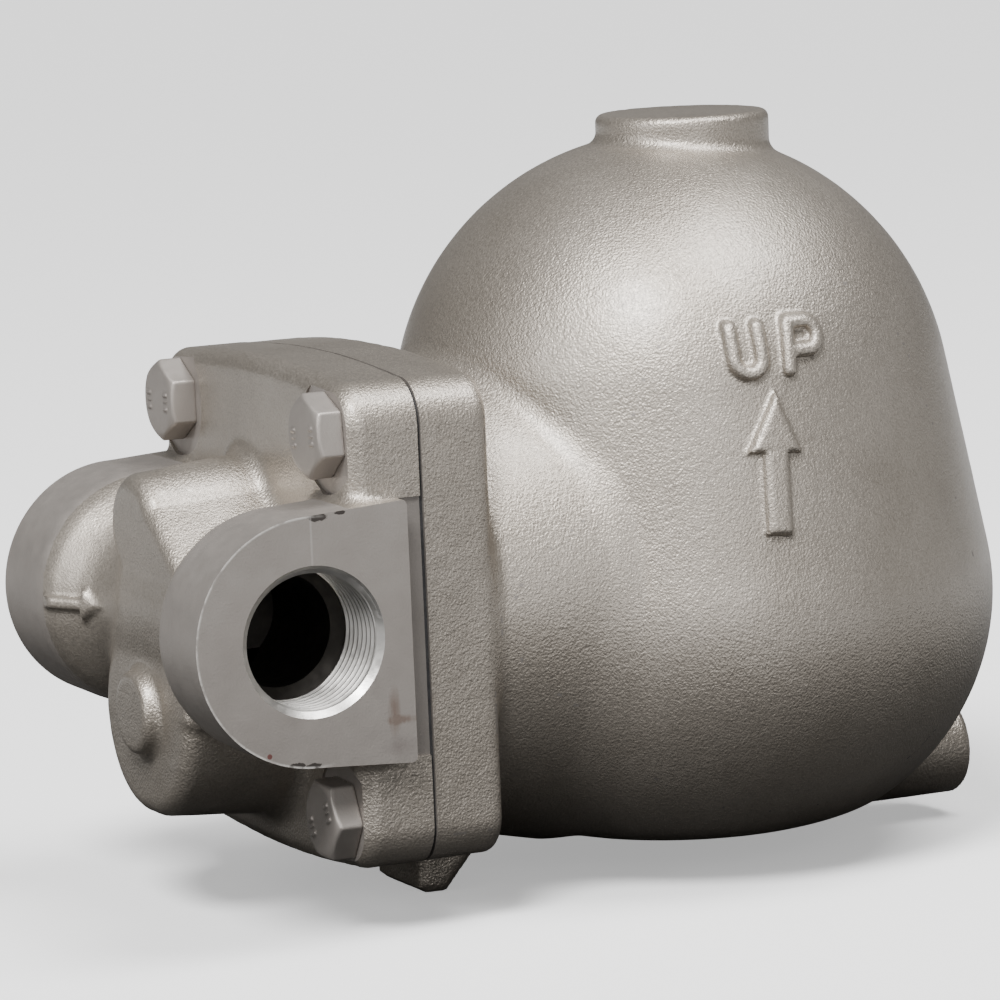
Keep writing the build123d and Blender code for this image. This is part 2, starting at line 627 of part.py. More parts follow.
# stud welded to the ball, flattened on top where the lever is riveted
with BuildPart() as stud:
    stud_end = arm_plane.from_local_coords(Vector(STUD_START, 0, 0))
    with BuildSketch(Plane(origin=stud_end, x_dir=(1, 0, 0), z_dir=arm_dir)):
        Circle(6.5)
    extrude(amount=16.0)
    with BuildSketch(arm_plane.offset(-8.0)):
        with Locations((STUD_START + 4.6, -ARM_T / 2 + 5.0)):
            Rectangle(9.4, 10.0)
    extrude(amount=16.0, mode=Mode.SUBTRACT)
    with Locations(float_centre):
        Sphere(FLOAT_R + 0.02, mode=Mode.SUBTRACT)
    for run in RIVETS:
        spot = arm_plane.from_local_coords(Vector(run, 0, 0))
        with BuildSketch(Plane(origin=spot, x_dir=(1, 0, 0), z_dir=arm_plane.y_dir).offset(-9.0)):
            Circle(RIVET_HOLE_R)
        extrude(amount=12.0, mode=Mode.SUBTRACT)
save(stud.part, "float_stud")

with BuildPart() as rivets:
    for run in RIVETS:
        spot = arm_plane.from_local_coords(Vector(run, 0, 0))
        lift = Plane(origin=spot, x_dir=(1, 0, 0), z_dir=arm_plane.y_dir)
        with BuildSketch(lift.offset(-ARM_T / 2 - 4.0)):
            Circle(1.5)
        extrude(amount=ARM_T + 4.0)
        with BuildSketch(lift.offset(ARM_T / 2)):
            Circle(2.0)
        extrude(amount=1.2)
save(rivets.part, "lever_rivets")

# ==== air vent =====================================================================================
vent_axis = Axis((VENT_X, 0, VENT_Z), (0, 1, 0))
VENT_NOSE_Y = JOINT_Y + 6.0

with BuildPart() as vent_gasket:
    with BuildSketch(facing_front(JOINT_Y + 0.6)):
        with Locations((VENT_X, VENT_Z)):
            Circle(7.4)
            Circle(5.2, mode=Mode.SUBTRACT)
    extrude(amount=0.6)
save(vent_gasket.part, "air_vent_seat_gasket")

with BuildPart() as vent_seat:
    with BuildSketch(facing_front(JOINT_Y + 0.6)):
        with Locations((VENT_X, VENT_Z)):
            add(hexagon(14.0))
    extrude(amount=-3.4)
    with BuildSketch(Plane.XY.offset(VENT_Z)):
        with BuildLine():
            Polyline((VENT_X, 20.0), (VENT_X + 4.4, 20.0), (VENT_X + 5.0, 20.6),
                     (VENT_X + 5.0, JOINT_Y + 1.0), (VENT_X + 4.2, JOINT_Y + 1.0),
                     (VENT_X + 4.2, VENT_NOSE_Y), (VENT_X, VENT_NOSE_Y), close=True)
        make_face()
    revolve(axis=vent_axis)
    with BuildSketch(facing_front(VENT_NOSE_Y)):
        with Locations((VENT_X, VENT_Z)):
            Circle(1.9)
    extrude(amount=20.0, mode=Mode.SUBTRACT)
save(vent_seat.part, "air_vent_seat")

# capsule: two dished plates seamed at the rim, with a ring crease pressed in each
# and a socket in the middle that guides the valve's stem
with BuildPart() as capsule:
    with BuildSketch(Plane.XY.offset(VENT_Z)):
        back, mid = CAPSULE_Y + CAPSULE_T, CAPSULE_Y + CAPSULE_T / 2
        socket_r = VENT_STEM_R + 0.3
        with BuildLine():
            Polyline((VENT_X, CAPSULE_Y + 5.0), (VENT_X + socket_r, CAPSULE_Y + 5.0),
                     (VENT_X + socket_r, CAPSULE_Y + 1.0), (VENT_X + 4.0, CAPSULE_Y + 1.0),
                     (VENT_X + 5.5, CAPSULE_Y), (VENT_X + 8.0, CAPSULE_Y),
                     (VENT_X + 9.5, CAPSULE_Y + 1.2), (VENT_X + 11.5, mid - 0.8),
                     (VENT_X + CAPSULE_R, mid - 0.8), (VENT_X + CAPSULE_R, mid + 0.8),
                     (VENT_X + 11.5, mid + 0.8), (VENT_X + 9.5, back - 1.2),
                     (VENT_X + 8.0, back), (VENT_X, back), close=True)
        make_face()
    revolve(axis=vent_axis)
save(capsule.part, "air_vent_capsule")

# valve disc, pushed towards the seat by the capsule's front plate as the capsule heats
VENT_VALVE_FRONT_Y = VENT_NOSE_Y + VENT_TRAVEL + 0.1
with BuildPart() as vent_valve:
    with BuildSketch(Plane.XY.offset(VENT_Z)):
        with BuildLine():
            Polyline((VENT_X, VENT_VALVE_FRONT_Y), (VENT_X + 1.6, VENT_VALVE_FRONT_Y),
                     (VENT_X + 3.6, VENT_VALVE_FRONT_Y + 1.2), (VENT_X + 3.6, CAPSULE_Y + 0.7),
                     (VENT_X + VENT_STEM_R, CAPSULE_Y + 0.7), (VENT_X + VENT_STEM_R, CAPSULE_Y + 4.0),
                     (VENT_X, CAPSULE_Y + 4.0), close=True)
        make_face()
    revolve(axis=vent_axis)
save(vent_valve.part, "air_vent_valve")

STRAP_T = 1.5
with BuildPart() as strap:
    with BuildSketch(Plane.XY.offset(VENT_Z - 6.0)):
        outer_y = CAPSULE_Y + CAPSULE_T + STRAP_T
        foot_x = VENT_SCREW_X + 5.0
        with BuildLine():
            Polyline((VENT_X - foot_x, JOINT_Y), (VENT_X - VENT_STRAP_X + STRAP_T, JOINT_Y),
                     (VENT_X - VENT_STRAP_X + STRAP_T, outer_y - STRAP_T),
                     (VENT_X + VENT_STRAP_X - STRAP_T, outer_y - STRAP_T),
                     (VENT_X + VENT_STRAP_X - STRAP_T, JOINT_Y), (VENT_X + foot_x, JOINT_Y),
                     (VENT_X + foot_x, JOINT_Y + STRAP_T), (VENT_X + VENT_STRAP_X, JOINT_Y + STRAP_T),
                     (VENT_X + VENT_STRAP_X, outer_y), (VENT_X - VENT_STRAP_X, outer_y),
                     (VENT_X - VENT_STRAP_X, JOINT_Y + STRAP_T), (VENT_X - foot_x, JOINT_Y + STRAP_T),
                     close=True)
        make_face()
    extrude(amount=12.0)
    with BuildSketch(facing_front(JOINT_Y + STRAP_T + 1.0)):
        with Locations((VENT_X + VENT_SCREW_X, VENT_Z), (VENT_X - VENT_SCREW_X, VENT_Z)):
            Circle(2.2)
    extrude(amount=STRAP_T + 2.0, mode=Mode.SUBTRACT)
save(strap.part, "air_vent_strap")

vent_screws = cheese_screws([(VENT_X + VENT_SCREW_X, VENT_Z), (VENT_X - VENT_SCREW_X, VENT_Z)],
                            JOINT_Y + STRAP_T, 2.0, 2.9, 2.4, 10.0)
save(vent_screws, "air_vent_screws")
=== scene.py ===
"""Looks for the ball float steam trap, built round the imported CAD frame.

Each casting is a signed distance field in millimetres.  It is meshed on a grid, pulled
exactly onto the field, roughened like sand-cast iron and then machined with booleans.
Lengths are in millimetres about the middle of the pipe run until a mesh is placed.
"""
import json
import math

import bpy
import numpy as np
from mathutils import Matrix, Vector


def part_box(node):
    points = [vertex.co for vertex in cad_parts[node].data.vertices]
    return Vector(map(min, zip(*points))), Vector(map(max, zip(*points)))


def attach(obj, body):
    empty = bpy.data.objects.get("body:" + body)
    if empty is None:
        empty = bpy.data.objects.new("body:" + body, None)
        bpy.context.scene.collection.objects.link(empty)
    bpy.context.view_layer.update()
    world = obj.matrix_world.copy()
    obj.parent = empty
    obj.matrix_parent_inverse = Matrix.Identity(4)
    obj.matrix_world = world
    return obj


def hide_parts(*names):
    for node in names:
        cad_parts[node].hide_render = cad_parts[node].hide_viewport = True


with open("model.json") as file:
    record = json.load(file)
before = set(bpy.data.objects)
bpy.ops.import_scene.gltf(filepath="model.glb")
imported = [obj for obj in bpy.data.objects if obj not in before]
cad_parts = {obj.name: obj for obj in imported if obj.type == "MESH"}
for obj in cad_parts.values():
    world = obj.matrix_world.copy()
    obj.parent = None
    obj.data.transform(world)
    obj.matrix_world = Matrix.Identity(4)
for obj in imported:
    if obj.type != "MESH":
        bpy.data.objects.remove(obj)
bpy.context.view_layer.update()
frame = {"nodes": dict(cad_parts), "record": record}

MM = 1000.0


def box_mm(node):
    """Lowest and highest corner of a CAD node, in millimetres."""
    low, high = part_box(node)
    return np.array(low) * MM, np.array(high) * MM


body_low, body_high = box_mm("body_casting")
cover_low, cover_high = box_mm("float_chamber_cover")
gasket_high = box_mm("cover_gasket")[1]
MID_X = (body_low[0] + body_high[0]) / 2
MIDDLE = np.array([MID_X, 0.0, 0.0])

# ---- connection body ------------------------------------------------------------
PORT_X = body_high[0] - MID_X
BOSS_R = -body_low[1]
BOSS_INNER_X = 36.0     # the taper reaches the boss's full size here
BOSS_FLAT_Y = 23.8
BOSS_FLARE = math.tan(math.radians(3.6))
PIPE_R = 17.5
PIPE_X = 22.0           # and comes down to the pipe here
BOSS_SLOPE = (BOSS_R - PIPE_R) / (BOSS_INNER_X - PIPE_X)
ARROW_RELIEF = 1.7
THREAD_R = frame["record"]["mounts"][0]["dims"]["r_mm"]
THREAD_LENGTH = 19.0
THREAD_PITCH = 2.31
THREAD_DEPTH = 1.35
MOUTH_R = THREAD_R + 0.5
PASSAGE_R = 13.0
PASSAGE_CONE = 2.2
OUTLET_INNER_X = 6.0    # how near to the middle each passage is drilled
INLET_INNER_X = 20.0
JOINT_Y = body_high[1]
FLANGE_T = 17.2
FLANGE_HALF_X = gasket_high[0] - MID_X + 0.9
FLANGE_TOP = gasket_high[2] + 0.9
FLANGE_ARCH = 3.4
FLANGE_CORNER_R = 9.0
FLANGE_FILLET = 3.5
STRIP_X = FLANGE_HALF_X - 0.7     # strip of flange milled beside each port boss
STRIP_HALF_Z = 29.4
HUB_FRONT_Y = -17.5
HUB_DRAFT = math.tan(math.radians(5.0))
VALVE_Z = -22.0
VALVE_LOBE_R = 24.6
VENT_Z = 18.9
VENT_LOBE_R = 13.2
BUTTON_FACE_Y = -21.1
BUTTON_R = 10.6
DISCHARGE_R = 14.0
DISCHARGE_END_Y = 14.0
SEAT_HOLE_R = 9.1
WINDOW_X = (-40.0, -20.0)
WINDOW_Z = (-9.0, 11.0)

# ---- float chamber ----------------------------------------------------------------
COVER_Y = cover_low[1]
BELLY_R = cover_high[0] - MID_X
CHAMBER_Y = cover_high[1] - BELLY_R
WALL = 7.5
BELLY_Z = -9.0
BELLY_ARC_R = 58.0
BOTTOM_Z = -69.8
UNDERSIDE_Z = -66.8
UNDERSIDE_EDGE_R = 10.0
DOME_Z = 101.5
DOME_R = 66.3
NECK_R = 54.0
NECK_SLOPE = 0.22
NECK_Z = -2.5
NECK_END_Y = 84.0
OPENING_R = 42.0
OPENING_END_Y = 100.0
TOP_BOSS_Y = 126.0
TOP_BOSS_R = 20.6
TOP_BOSS_Z = cover_high[2]
DRAIN_R = 12.0
DRAIN_Z = -54.0
DRAIN_END_Y = 193.0
FOOT_HALF_X = 13.0
FOOT_Z = cover_low[2]
MARK_HALF = 1.62        # half the width of a letter's stroke
MARK_RELIEF = 2.1

# ---- cover bolts --------------------------------------------------------------------
BOLT_X = 43.4
BOLT_Z = 43.5
BOLT_SEAT_Y = JOINT_Y - FLANGE_T + 0.8
BOLT_PLACES = [(BOLT_X, BOLT_Z), (BOLT_X, -BOLT_Z), (-BOLT_X, BOLT_Z), (-BOLT_X, -BOLT_Z)]
BOLT_TURNS = [math.radians(a) for a in (7.0, 27.0, 0.5, 41.0)]
BOLT_FLATS = 17.0
BOLT_HEAD = 6.4
BOLT_R = 5.0
BOLT_LENGTH = 30.2
BOLT_HOLE_R = 5.5
BOLT_TAP_R = 5.06
BOLT_TAP_DEPTH = 14.5
SPOT_FACE_R = 13.5

# ---- machining ------------------------------------------------------------------------
STOCK = 2.0         # metal left on a joint face for its cut
PORT_STOCK = 3.0    # metal left on a port face for its cut
CUT_PAST = 20.0     # how far a flat cut reaches past its face
DRILL_PAST = 5.0    # how far a hole reaches past its face
FAR = 70.0          # beyond the body and the joint on every side
ON_PLANE = 0.01     # a face this near to a plane lies on it
ALONG_Y = (0, 1, 0)


# ==== distance fields ================================================================
def join(a, b, fillet):
    """Union of two solids with a fillet where they meet."""
    near_a = np.maximum(fillet - a, 0)
    near_b = np.maximum(fillet - b, 0)
    return np.maximum(fillet, np.minimum(a, b)) - np.sqrt(near_a**2 + near_b**2)


def meet(a, b, rounding):
    """Common part of two solids, with the new edge rounded."""
    past_a = np.maximum(rounding + a, 0)
    past_b = np.maximum(rounding + b, 0)
    return np.minimum(-rounding, np.maximum(a, b)) + np.sqrt(past_a**2 + past_b**2)


def radius(u, v):
    return np.sqrt(u * u + v * v)


def convex(u, v, corners):
    """Distance to a convex outline whose corners run counterclockwise."""
    distance = None
    for (u0, v0), (u1, v1) in zip(corners, corners[1:] + corners[:1]):
        side = ((u - u0) * (v1 - v0) - (v - v0) * (u1 - u0)) / math.hypot(u1 - u0, v1 - v0)
        distance = side if distance is None else np.maximum(distance, side)
    return distance


def stroke(u, v, start, end):
    """Distance to a straight line between two points."""
    run = np.array(end) - np.array(start)
    t = ((u - start[0]) * run[0] + (v - start[1]) * run[1]) / (run @ run)
    t = np.clip(t, 0, 1)
    return radius(u - start[0] - t * run[0], v - start[1] - t * run[1])


def flange_sides(x, z):
    """Four sides of the joint flange, the top and bottom slightly arched."""
    half_z = FLANGE_TOP - FLANGE_ARCH * (x / FLANGE_HALF_X)**2
    past_x = np.abs(x) - (FLANGE_HALF_X - FLANGE_CORNER_R)
    past_z = np.abs(z) - (half_z - FLANGE_CORNER_R)
    corner = radius(np.maximum(past_x, 0), np.maximum(past_z, 0))
    return corner + np.minimum(np.maximum(past_x, past_z), 0) - FLANGE_CORNER_R


def flow_arrow(along, z):
    """Outline of the flow arrow, laid down the taper of the inlet boss."""
    down = (BOSS_INNER_X - along) * math.hypot(1, BOSS_SLOPE)
    shaft = convex(down, z, [(0.3, -1.6), (13.0, -1.9), (13.0, 1.1), (0.3, 1.6)])
    head = convex(down, z, [(11.8, -4.4), (17.6, -0.3), (12.6, 3.4)])
    return np.minimum(shaft, head)


def port_boss(x, y, z, side):
    """D-shaped boss that tapers into its pipe, left long at the port face."""
    along = side * x
    bell = np.where(y < 0, radius(y, z), np.abs(z) - np.maximum(y, 0) * BOSS_FLARE)
    outline = meet(bell - BOSS_R, y - BOSS_FLAT_Y, 1.2)
    cone = (bell - PIPE_R - (along - PIPE_X) * BOSS_SLOPE) / math.hypot(1, BOSS_SLOPE)
    boss = np.maximum(meet(outline, cone, 2.5), along - PORT_X - PORT_STOCK)
    if side < 0:
        arrow = meet(flow_arrow(along, z), np.abs(cone) - ARROW_RELIEF, 0.9)
        boss = join(boss, np.maximum(arrow, radius(y, z) - BOSS_R + 0.3), 0.6)
    pipe = np.maximum(radius(y, z) - PIPE_R, np.abs(along) - PORT_X + 8.0)
    return join(boss, pipe, 5.0)


def hub(x, y, z):
    """Drafted hub: a round valve lobe, a vent lobe and a flank that slopes to the outlet."""
    flank = convex(x, z, [(-13.2, VALVE_Z), (VALVE_LOBE_R, VALVE_Z), (23.1, 12.8),
                          (-0.5, 31.4), (-5.0, 31.6), (-13.2, 22.0)])
    # A second circle fills the valve lobe out towards the inlet.
    valve_lobe = np.minimum(radius(x, z - VALVE_Z) - VALVE_LOBE_R,
                            radius(x + 4.5, z - VALVE_Z + 2.3) - 22.3)
    vent_lobe = radius(x + 4.6, z - VENT_Z) - VENT_LOBE_R
    outline = join(np.minimum(flank, vent_lobe), valve_lobe, 2.5)
    tapered = outline - (y - HUB_FRONT_Y) * HUB_DRAFT
    solid = meet(tapered, HUB_FRONT_Y - y, 3.6)
    button = radius(x + 1.0, z - VALVE_Z + 0.4) - BUTTON_R + 0.35 * (HUB_FRONT_Y - y)
    button = meet(button, BUTTON_FACE_Y - y, 1.3)
    return join(solid, np.maximum(button, y), 1.5)


def body_field(x, y, z):
    """The connection body as cast, left long at the joint face and both port faces."""
    flange = meet(flange_sides(x, z), JOINT_Y - FLANGE_T - y, 4.5)
    flange = np.maximum(flange, y - JOINT_Y - STOCK)
    cast = join(flange, np.maximum(hub(x, y, z), y - JOINT_Y), FLANGE_FILLET)
    # The fillet round a boss tightens where the boss nears the joint.
    fillet = np.clip((21.5 - y) * 0.6, 0.5, 3.0)
    for side in (1, -1):
        cast = join(cast, port_boss(x, y, z, side), fillet)
    return cast


def belly_arcs():
    """The egg's section: dome arc, straight flank, belly arc and bottom arc, all tangent."""
    dome_z = DOME_Z - DOME_R
    belly_c = BELLY_R - BELLY_ARC_R
    reach = math.hypot(dome_z - BELLY_Z, belly_c)
    flank = math.asin((BELLY_ARC_R - DOME_R) / reach) + math.atan2(belly_c, dome_z - BELLY_Z)
    drop = BELLY_Z - BOTTOM_Z
    bottom_r = (belly_c**2 + drop**2 - BELLY_ARC_R**2) / (2 * (drop - BELLY_ARC_R))
    bottom_z = BOTTOM_Z + bottom_r
    low = math.atan2(bottom_z - BELLY_Z, belly_c)
    return dome_z, belly_c, flank, bottom_r, bottom_z, low


DOME_C_Z, BELLY_C, FLANK_ANGLE, BOTTOM_R, BOTTOM_C_Z, LOW_ANGLE = belly_arcs()


def egg(x, y, z):
    """Float chamber outside: exact distance to a chain of tangent arcs turned about its axis."""
    rho = radius(x, y - CHAMBER_Y)
    cos_f, sin_f = math.cos(FLANK_ANGLE), math.sin(FLANK_ANGLE)
    dome = radius(rho, z - DOME_C_Z) - DOME_R
    flank = rho * cos_f + (z - DOME_C_Z) * sin_f - DOME_R
    belly = radius(rho - BELLY_C, z - BELLY_Z) - BELLY_ARC_R
    bottom = radius(rho, z - BOTTOM_C_Z) - BOTTOM_R
    above_flank = (z - DOME_C_Z) * cos_f - rho * sin_f > 0
    on_flank = (z - BELLY_Z) * cos_f - (rho - BELLY_C) * sin_f > 0
    below = (z - BELLY_Z) * math.cos(LOW_ANGLE) + (rho - BELLY_C) * math.sin(LOW_ANGLE) < 0
    distance = np.where(below, bottom, belly)
    distance = np.where(on_flank, flank, distance)
    return np.where(above_flank, dome, distance)


def up_mark(y, z):
    """Plain stroke letters U and P over an arrow, seen from +X."""
    u_bowl = np.where(z < 54.0, np.abs(radius(y - 108.6, z - 54.0) - 3.3), 99.0)
    u_bars = np.minimum(stroke(y, z, (105.3, 54.0), (105.3, 60.9)),
                        stroke(y, z, (111.9, 54.0), (111.9, 60.9)))
    p_bowl = np.where(y > 123.4, np.abs(radius(y - 123.4, z - 58.3) - 3.2), 99.0)
    p_bars = np.minimum(stroke(y, z, (119.4, 61.5), (123.4, 61.5)),
                        stroke(y, z, (118.8, 55.1), (123.4, 55.1)))
    p_stem = stroke(y, z, (118.2, 50.9), (119.4, 61.5))
    letters = np.minimum.reduce([u_bowl, u_bars, p_bowl, p_bars, p_stem]) - MARK_HALF
    head = convex(y, z, [(105.6, 32.8), (118.6, 32.2), (113.6, 46.2)])
    shaft = convex(y, z, [(107.8, 14.4), (113.8, 14.0), (115.2, 34.0), (109.2, 34.0)])
    return np.minimum(letters, np.minimum(head, shaft))


def cover_field(x, y, z):
    """The float chamber cover as cast and solid, left long at the joint face."""
    shell = meet(egg(x, y, z), UNDERSIDE_Z - z, UNDERSIDE_EDGE_R)
    raised = meet(up_mark(y, z), np.abs(shell) - MARK_RELIEF, 1.5)
    raised = np.maximum(raised, 20.0 - x)
    cone = radius(x, z - NECK_Z) - NECK_R - (y - COVER_Y - FLANGE_T) * NECK_SLOPE
    cone = cone / math.hypot(1, NECK_SLOPE)
    neck = meet(np.maximum(cone, COVER_Y + 4.0 - y), y - NECK_END_Y, 8.0)
    flange = meet(flange_sides(x, z), y - COVER_Y - FLANGE_T, 3.0)
    flange = np.maximum(flange, COVER_Y - STOCK - y)
    cast = join(join(shell, neck, 3.0), flange, FLANGE_FILLET)
    top = meet(radius(x, y - TOP_BOSS_Y) - TOP_BOSS_R, z - TOP_BOSS_Z, 2.0)
    cast = join(cast, np.maximum(top, 60.0 - z), 2.2)
    drain = meet(radius(x, z - DRAIN_Z) - DRAIN_R, y - DRAIN_END_Y, 1.5)
    cast = join(cast, np.maximum(drain, 130.0 - y), 5.0)
    foot = convex(y, z, [(44.0, -45.0), (44.0, -69.4), (46.0, FOOT_Z), (51.0, FOOT_Z),
                         (60.0, -60.5), (66.0, -50.0), (66.0, -45.0)])
    cast = join(cast, meet(foot, np.abs(x) - FOOT_HALF_X, 2.0), 2.5)
    return join(cast, raised, 0.8)


# ==== meshing ==========================================================================
def ticks(*spans):
    """Grid ticks from (start, end, step) spans that follow one another."""
    runs = [np.linspace(a, b, max(2, round((b - a) / step) + 1))[:-1] for a, b, step in spans]
    return np.concatenate(runs + [[spans[-1][1]]])


def surface_net(field, xs, ys, zs):
    """Quad mesh of a field's surface, with one vertex in each grid cell that it crosses."""
    grid = np.meshgrid(xs, ys, zs, indexing="ij", sparse=True)
    values = np.broadcast_to(field(*grid), (len(xs), len(ys), len(zs)))
    inside = values < 0
    cells = tuple(n - 1 for n in values.shape)

    def corner(array, i, j, k):
        return array[i:i + cells[0], j:j + cells[1], k:k + cells[2]]

    count = sum(corner(inside, i, j, k).astype(np.int8)
                for i in (0, 1) for j in (0, 1) for k in (0, 1))
    crossed = (count > 0) & (count < 8)
    where = np.argwhere(crossed)
    index = np.full(cells, -1, np.int64)
    index[crossed] = np.arange(len(where))
    total = np.zeros((len(where), 3))
    hits = np.zeros(len(where))
    for axis in range(3):
        for a in (0, 1):
            for b in (0, 1):
                start = [a, b]
                start.insert(axis, 0)
                end = list(start)
                end[axis] = 1
                low = corner(values, *start)[crossed]
                high = corner(values, *end)[crossed]
                cut = (low < 0) != (high < 0)
                t = low[cut] / (low[cut] - high[cut])
                first = where[cut] + start
                last = where[cut] + end
                for k, line in enumerate((xs, ys, zs)):
                    total[cut, k] += line[first[:, k]] * (1 - t) + line[last[:, k]] * t
                hits[cut] += 1
    points = total / hits[:, None]
    quads = []
    for axis in range(3):
        b, c = (axis + 1) % 3, (axis + 2) % 3
        first = np.take(inside, range(cells[axis]), axis)
        second = np.take(inside, range(1, cells[axis] + 1), axis)
        for leaving in (True, False):
            change = (first & ~second) if leaving else (~first & second)
            at = np.argwhere(change)
            at = at[(at[:, b] > 0) & (at[:, b] < cells[b])
                    & (at[:, c] > 0) & (at[:, c] < cells[c])]
            ring = []
            for db, dc in ((-1, -1), (0, -1), (0, 0), (-1, 0)):
                cell = at.copy()
                cell[:, b] += db
                cell[:, c] += dc
                ring.append(index[cell[:, 0], cell[:, 1], cell[:, 2]])
            quad = np.stack(ring, 1)
            quads.append(quad if leaving else quad[:, ::-1])
    return points, np.concatenate(quads)


def slopes(field, points):
    """Gradient of a field at some points."""
    step = 0.02
    moved = []
    for axis in range(3):
        shift = np.zeros(3)
        shift[axis] = step
        moved.append((field(*(points + shift).T) - field(*(points - shift).T)) / (2 * step))
    return np.stack(moved, 1)


def pull_onto(field, points, rounds=3):
    """Moves points along the field's gradient until they lie on its surface."""
    for _ in range(rounds):
        gradient = slopes(field, points)
        size = np.maximum((gradient**2).sum(1), 0.05)
        step = np.clip(field(*points.T) / size, -0.7, 0.7)
        points = points - gradient * step[:, None]
    return points, gradient / np.sqrt(size)[:, None]


def grain(points, wavelength, seed):
    """Smooth random values between -1 and 1, one per point, on a lattice of that wavelength."""
    size = 48
    lattice = np.random.default_rng(seed).random((size, size, size)) * 2 - 1
    place = points / wavelength + 1000.0
    base = np.floor(place).astype(int)
    part = place - base
    part = part * part * (3 - 2 * part)
    value = np.zeros(len(points))
    for corner in range(8):
        offset = np.array([corner & 1, corner >> 1 & 1, corner >> 2 & 1])
        weight = np.where(offset, part, 1 - part).prod(1)
        cell = (base + offset) % size
        value += weight * lattice[cell[:, 0], cell[:, 1], cell[:, 2]]
    return value


def new_object(name, points, faces):
    """Mesh object from points in millimetres about the middle of the pipe run."""
    places = (np.asarray(points) + MIDDLE) / MM
    mesh = bpy.data.meshes.new(name)
    mesh.from_pydata(places.tolist(), [], [list(map(int, face)) for face in faces])
    mesh.validate()
    item = bpy.data.objects.new(name, mesh)
    bpy.context.scene.collection.objects.link(item)
    return item


def cast_object(name, field, grid, seed):
    """A casting's raw shape with sand-cast waviness pressed in, least round the port bosses."""
    points, quads = surface_net(field, *grid)
    points, normals = pull_onto(field, points)
    x, y = points[:, 0], points[:, 1]
    share = np.clip((62.0 - y) / 14.0, 0.35, 1.0)
    share = np.where(y > COVER_Y, share, share * np.clip(44.5 - np.abs(x), 0.15, 1.0))
    depth = 0.07 * (1 + grain(points, 11.0, seed)) + 0.06 * (1 + grain(points, 3.0, seed + 1))
    return new_object(name, points - normals * (share * depth)[:, None], quads)


# ==== machining =========================================================================
def turned(name, profile, centre, axis, segments=96):
    """Solid of revolution: (along, radius) pairs about an axis through a centre."""
    axis = Vector(axis).normalized()
    side = axis.orthogonal().normalized()
    other = axis.cross(side)
    points, rings = [], []
    for along, rad in profile:
        if rad < 1e-6:
            rings.append([len(points)])
            points.append(Vector(centre) + axis * along)
            continue
        rings.append(list(range(len(points), len(points) + segments)))
        for k in range(segments):
            turn = 2 * math.pi * k / segments
            points.append(Vector(centre) + axis * along
                          + side * rad * math.cos(turn) + other * rad * math.sin(turn))
    faces = []
    for lower, upper in zip(rings, rings[1:]):
        for k in range(segments):
            m = (k + 1) % segments
            if len(lower) == 1:
                faces.append((lower[0], upper[m], upper[k]))
            elif len(upper) == 1:
                faces.append((lower[k], lower[m], upper[0]))
            else:
                faces.append((lower[k], lower[m], upper[m], upper[k]))
    if len(rings[0]) > 1:
        faces.append(rings[0][::-1])
    if len(rings[-1]) > 1:
        faces.append(rings[-1])
    return new_object(name, points, faces)


def block(name, low, high):
    """Box between two corners."""
    points = [[(low, high)[i][0], (low, high)[j][1], (low, high)[k][2]]
              for i in (0, 1) for j in (0, 1) for k in (0, 1)]
    faces = [(0, 1, 3, 2), (4, 6, 7, 5), (0, 4, 5, 1), (2, 3, 7, 6), (0, 2, 6, 4), (1, 5, 7, 3)]
    return new_object(name, points, faces)


def thread_ridge(name, side):
    """Helical ridge of the port's thread, its root sunk into the wall."""
    steps = 72
    foot, crest = THREAD_R - 0.05, THREAD_R - THREAD_DEPTH
    outline = ((-0.48, MOUTH_R), (-0.46, foot), (-0.09, crest),
               (0.09, crest), (0.46, foot), (0.48, MOUTH_R))
    count = int(THREAD_LENGTH / THREAD_PITCH * steps)
    points, faces = [], []
    for k in range(count + 1):
        turn = 2 * math.pi * k / steps
        reach = PORT_X + 0.4 * THREAD_PITCH - THREAD_PITCH * k / steps
        for offset, rad in outline:
            points.append((side * (reach + offset * THREAD_PITCH), rad * math.cos(turn) * side,
                           rad * math.sin(turn)))
    size = len(outline)
    for k in range(count):
        for m in range(size):
            n = (m + 1) % size
            faces.append((k * size + m, k * size + n, (k + 1) * size + n, (k + 1) * size + m))
    faces.append(list(range(size))[::-1])
    faces.append([count * size + m for m in range(size)])
    return new_object(name, points, faces)


def machine(target, steps):
    """Applies booleans to target one after the other and removes their tools."""
    for operation, tool in steps:
        change = target.modifiers.new(tool.name, "BOOLEAN")
        change.operation = operation
        change.object = tool
        change.solver = "MANIFOLD"
    shaped = target.evaluated_get(bpy.context.evaluated_depsgraph_get())
    mesh = bpy.data.meshes.new_from_object(shaped)
    if len(mesh.vertices) == len(target.data.vertices):
        raise RuntimeError("the cuts in " + target.name + " failed")
    target.modifiers.clear()
    target.data = mesh
    for _, tool in steps:
        bpy.data.objects.remove(tool)
    return target


def face_places(item):
    """Centres of an object's faces, in millimetres about the middle of the pipe run."""
    centres = np.zeros(len(item.data.polygons) * 3)
    item.data.polygons.foreach_get("center", centres)
    return centres.reshape(-1, 3) * MM - MIDDLE


def assign(item, materials, choice):
    """Gives an object its materials and each face its choice among them."""
    item.data.materials.clear()
    for material in materials:
        item.data.materials.append(material)
    item.data.polygons.foreach_set("material_index", choice.astype(np.int32))


